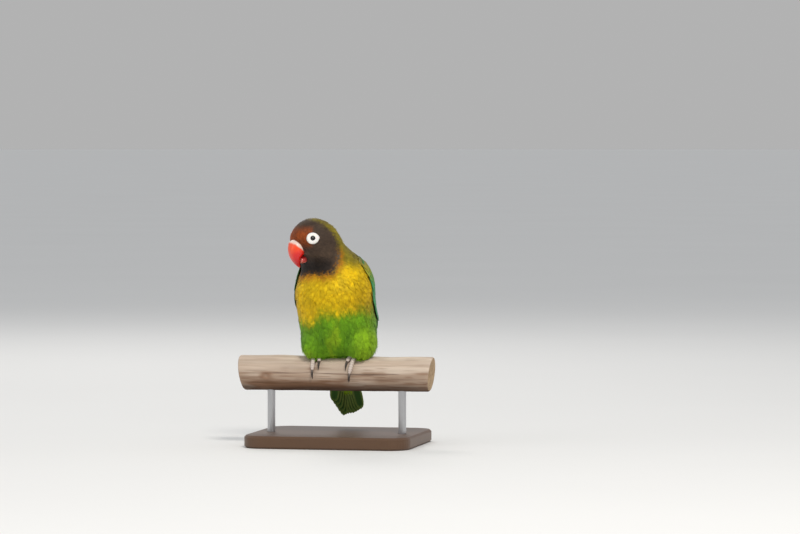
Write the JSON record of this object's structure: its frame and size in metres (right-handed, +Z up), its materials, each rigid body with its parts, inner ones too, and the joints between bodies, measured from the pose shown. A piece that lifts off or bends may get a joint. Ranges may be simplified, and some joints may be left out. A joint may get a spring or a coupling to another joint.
{
  "type": "yellow-collared (masked) lovebird on a perch, life-size still model",
  "caption": "Small stocky parrot with a short wedge tail and a hooked bill, perched upright on a short branch with its head turned aside, held up by a plain stand.",
  "frame": {"origin": "middle of the flat underside of the stand's base, on the surface it stands on", "axes": "+Z up; the bird's breast faces -Y and its left side is +X; the perch lies along X; the head is turned 48 degrees to the bird's right, towards -X"},
  "size_m": [0.127, 0.092, 0.1461],
  "materials": {
    "mask_feather": "matt feathering, dark brown",
    "collar_feather": "matt feathering, olive yellow",
    "breast_feather": "matt feathering, yellow above, green below",
    "belly_feather": "matt feathering, bright green",
    "wing_feather": "satin feathering, blue green",
    "flight_feather": "satin flight feathers, blackish with green webs",
    "tail_feather": "satin tail feathers, green",
    "bill": "smooth horn, red with a pale base",
    "eye": "wet and dark",
    "eye_skin": "bare white skin, matt",
    "foot_skin": "fine scaly skin, pale",
    "claw": "dark horn",
    "perch_wood": "weathered, bare",
    "stand_rod": "satin",
    "stand_base": "smooth, satin varnish"
  },
  "bodies": {
    "root": {"head": "mask_feather", "neck": "collar_feather", "trunk": "breast_feather", "beak_upper": "bill", "beak_lower": "bill", "tail": "tail_feather", "eye_left": "eye", "eye_ring_left": "eye_skin", "wing_left": "wing_feather", "primaries_left": "flight_feather", "thigh_left": "belly_feather", "foot_left": "foot_skin", "claw_left_outer_front": "claw", "claw_left_inner_front": "claw", "claw_left_inner_back": "claw", "claw_left_outer_back": "claw", "eye_right": "eye", "eye_ring_right": "eye_skin", "wing_right": "wing_feather", "primaries_right": "flight_feather", "thigh_right": "belly_feather", "foot_right": "foot_skin", "claw_right_outer_front": "claw", "claw_right_inner_front": "claw", "claw_right_inner_back": "claw", "claw_right_outer_back": "claw", "perch": "perch_wood", "stand_rod_left": "stand_rod", "stand_rod_right": "stand_rod", "stand_base": "stand_base"}
  },
  "joints": []
}
